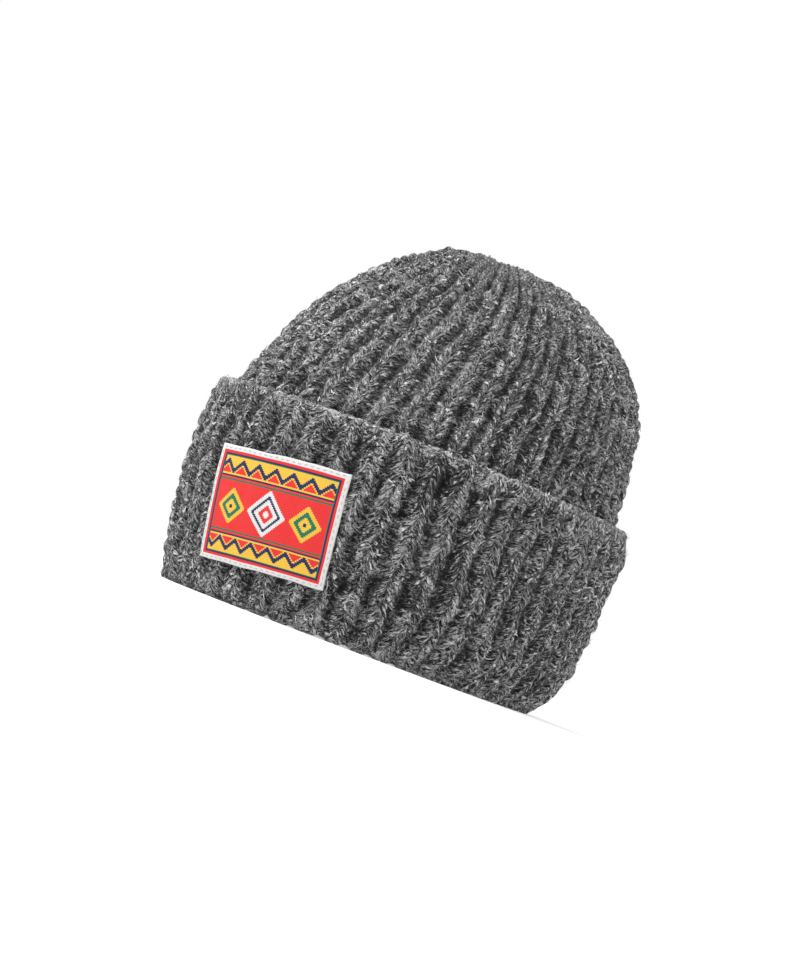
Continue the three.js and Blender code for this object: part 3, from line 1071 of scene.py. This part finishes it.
def make_threads():
    """Woven or spun threads: a ridge for every thread of a flat pattern, with slight fray."""
    tree, given, gives = new_group(
        "Threads",
        {"Place": (0.0, 0.0, 0.0), "Thread Width": 0.35, "Weft Share": 0.6},
        {"Shade": 0.0, "Height": 0.0},
    )
    split = add_node(tree, "SeparateXYZ", {0: given.outputs["Place"]})
    width = given.outputs["Thread Width"]

    def ridges(value, offset):
        turns = calculate(tree, "DIVIDE", value, width)
        inputs = {0: turns, 1: math.pi, 2: offset}
        angle = add_node(tree, "Math", inputs, operation="MULTIPLY_ADD").outputs[0]
        return calculate(tree, "ABSOLUTE", calculate(tree, "SINE", angle))

    weft = ridges(split.outputs[1], 0.0)
    warp = ridges(split.outputs[0], 0.8)
    share = given.outputs["Weft Share"]
    kept = calculate(tree, "SUBTRACT", 1.0, share)
    weave = add_share(tree, multiply(tree, weft, share), warp, kept)
    inputs = {"Vector": given.outputs["Place"], "Scale": 2.4, "Detail": 4.0}
    fray = add_node(tree, "TexNoise", inputs).outputs["Fac"]
    height = add_share(tree, weave, fray, 0.5)
    shade = remap(tree, height, 0.35, 1.15, 0.72, 1.05)
    fill_inputs(tree, gives, {"Shade": shade, "Height": height})
    return tree


def label_material(threads):
    material, tree, surface = new_material("woven_label")
    place = add_node(tree, "UVMap", {}, uv_map="weave").outputs[0]
    pattern = add_node(tree, "Attribute", {}, attribute_name="thread_colour")
    weave = place_group(tree, threads, {"Place": place, "Thread Width": 0.36, "Weft Share": 0.65})
    shaded = shade_colour(tree, pattern.outputs["Color"], weave.outputs["Shade"])
    add_bump(tree, surface, weave.outputs["Height"], 0.5, 0.0002)
    set_finish(tree, surface, shaded, 0.7, 0.25, 0.04)
    return material


def thread_material(threads):
    material, tree, surface = new_material("sewing_thread")
    place = add_node(tree, "TexCoord", {}).outputs["Object"]
    scaled = multiply_vector(tree, place, (1 / MM, 1 / MM, 1 / MM))
    inputs = {"Place": scaled, "Thread Width": 0.3, "Weft Share": 0.5}
    twist = place_group(tree, threads, inputs)
    shaded = shade_colour(tree, (0.44, 0.44, 0.43, 1), twist.outputs["Shade"])
    set_finish(tree, surface, shaded, 0.6, 0.5)
    return material


def make_stage():
    """An even white floor, and soft studio light from above, the left, the front and behind."""
    scene = bpy.context.scene
    scene.view_settings.view_transform = "Standard"
    world = bpy.data.worlds.new("studio")
    world.use_nodes = True
    sky = world.node_tree.nodes["Background"]
    fill_inputs(world.node_tree, sky, {"Color": (1.0, 1.0, 1.0, 1), "Strength": 1.0})
    scene.world = world
    half = 9.0
    mesh = bpy.data.meshes.new("floor")
    corners = [(-half, -half, 0), (half, -half, 0), (half, half, 0), (-half, half, 0)]
    mesh.from_pydata(corners, [], [(0, 1, 2, 3)])
    floor = bpy.data.objects.new("floor", mesh)
    scene.collection.objects.link(floor)
    material, tree, surface = new_material("pale_floor")
    set_finish(tree, surface, (0.5, 0.5, 0.5, 1), 0.9, 0.0)
    glow = {"Emission Color": (1.0, 1.0, 1.0, 1), "Emission Strength": 0.5}
    fill_inputs(tree, surface, glow)
    mesh.materials.append(material)
    for name, place, size, power in (
        ("key", (-0.9, -1.3, 1.5), 1.0, 14.5),
        ("top", (-0.5, -0.1, 1.7), 1.0, 27.0),
        ("fill", (1.6, -1.0, 0.8), 1.4, 1.0),
        ("back", (0.5, 1.5, 1.4), 1.2, 8.0),
    ):
        light = bpy.data.lights.new(name, "AREA")
        light.shape = "DISK"
        light.size = size
        light.energy = power
        lamp = bpy.data.objects.new(name, light)
        lamp.location = place
        aim = Vector((0.0, 0.0, 0.08)) - Vector(place)
        lamp.rotation_euler = aim.to_track_quat("-Z", "Y").to_euler()
        scene.collection.objects.link(lamp)


def make_camera():
    """The photograph's angle round the hat and its roll, raised until it is above the floor."""
    azimuth = math.radians(29.5)
    elevation = math.radians(-2.6)
    roll = math.radians(20.8)
    distance = 1.35
    aim = Vector((-0.0072, -0.0012, 0.0769))
    back = Vector((
        math.sin(azimuth) * math.cos(elevation),
        -math.cos(azimuth) * math.cos(elevation),
        math.sin(elevation),
    ))
    right = Vector((math.cos(azimuth), math.sin(azimuth), 0.0))
    up = back.cross(right)
    across = right * math.cos(roll) + up * math.sin(roll)
    upward = up * math.cos(roll) - right * math.sin(roll)
    turned = Matrix((across, upward, back)).transposed()
    lens = bpy.data.cameras.new("camera")
    lens.lens = 114.5
    lens.sensor_width = 36.0
    lens.clip_end = 60.0
    camera = bpy.data.objects.new("camera", lens)
    camera.matrix_world = Matrix.Translation(aim + back * distance) @ turned.to_4x4()
    bpy.context.scene.collection.objects.link(camera)
    bpy.context.scene.camera = camera


streaks = make_fibre_streaks()
marl = make_marl(streaks)
threads = make_threads()
cuff_wool = knit_material("wool_cuff", marl)
crown_wool = knit_material("wool_crown", marl)
loose_wool = fibre_material("wool_fibres")

cuff = make_cuff(cuff_wool)
crown = make_crown(crown_wool)
inside = make_inside(crown_wool)
for name, grid, count, slubs, seed, slot, flip in (
    ("cuff_fuzz", cuff, 38000, 420, 3, "wool_cuff", 1),
    ("crown_fuzz", crown, 38000, 420, 4, "wool_crown", 1),
    ("inside_fuzz", inside, 8000, 90, 5, "wool_crown", -1),
):
    make_fibres(name, grid, count, slubs, seed, loose_wool, flip)
make_label(label_material(threads))
make_label_thread(thread_material(threads))
make_stage()
make_camera()
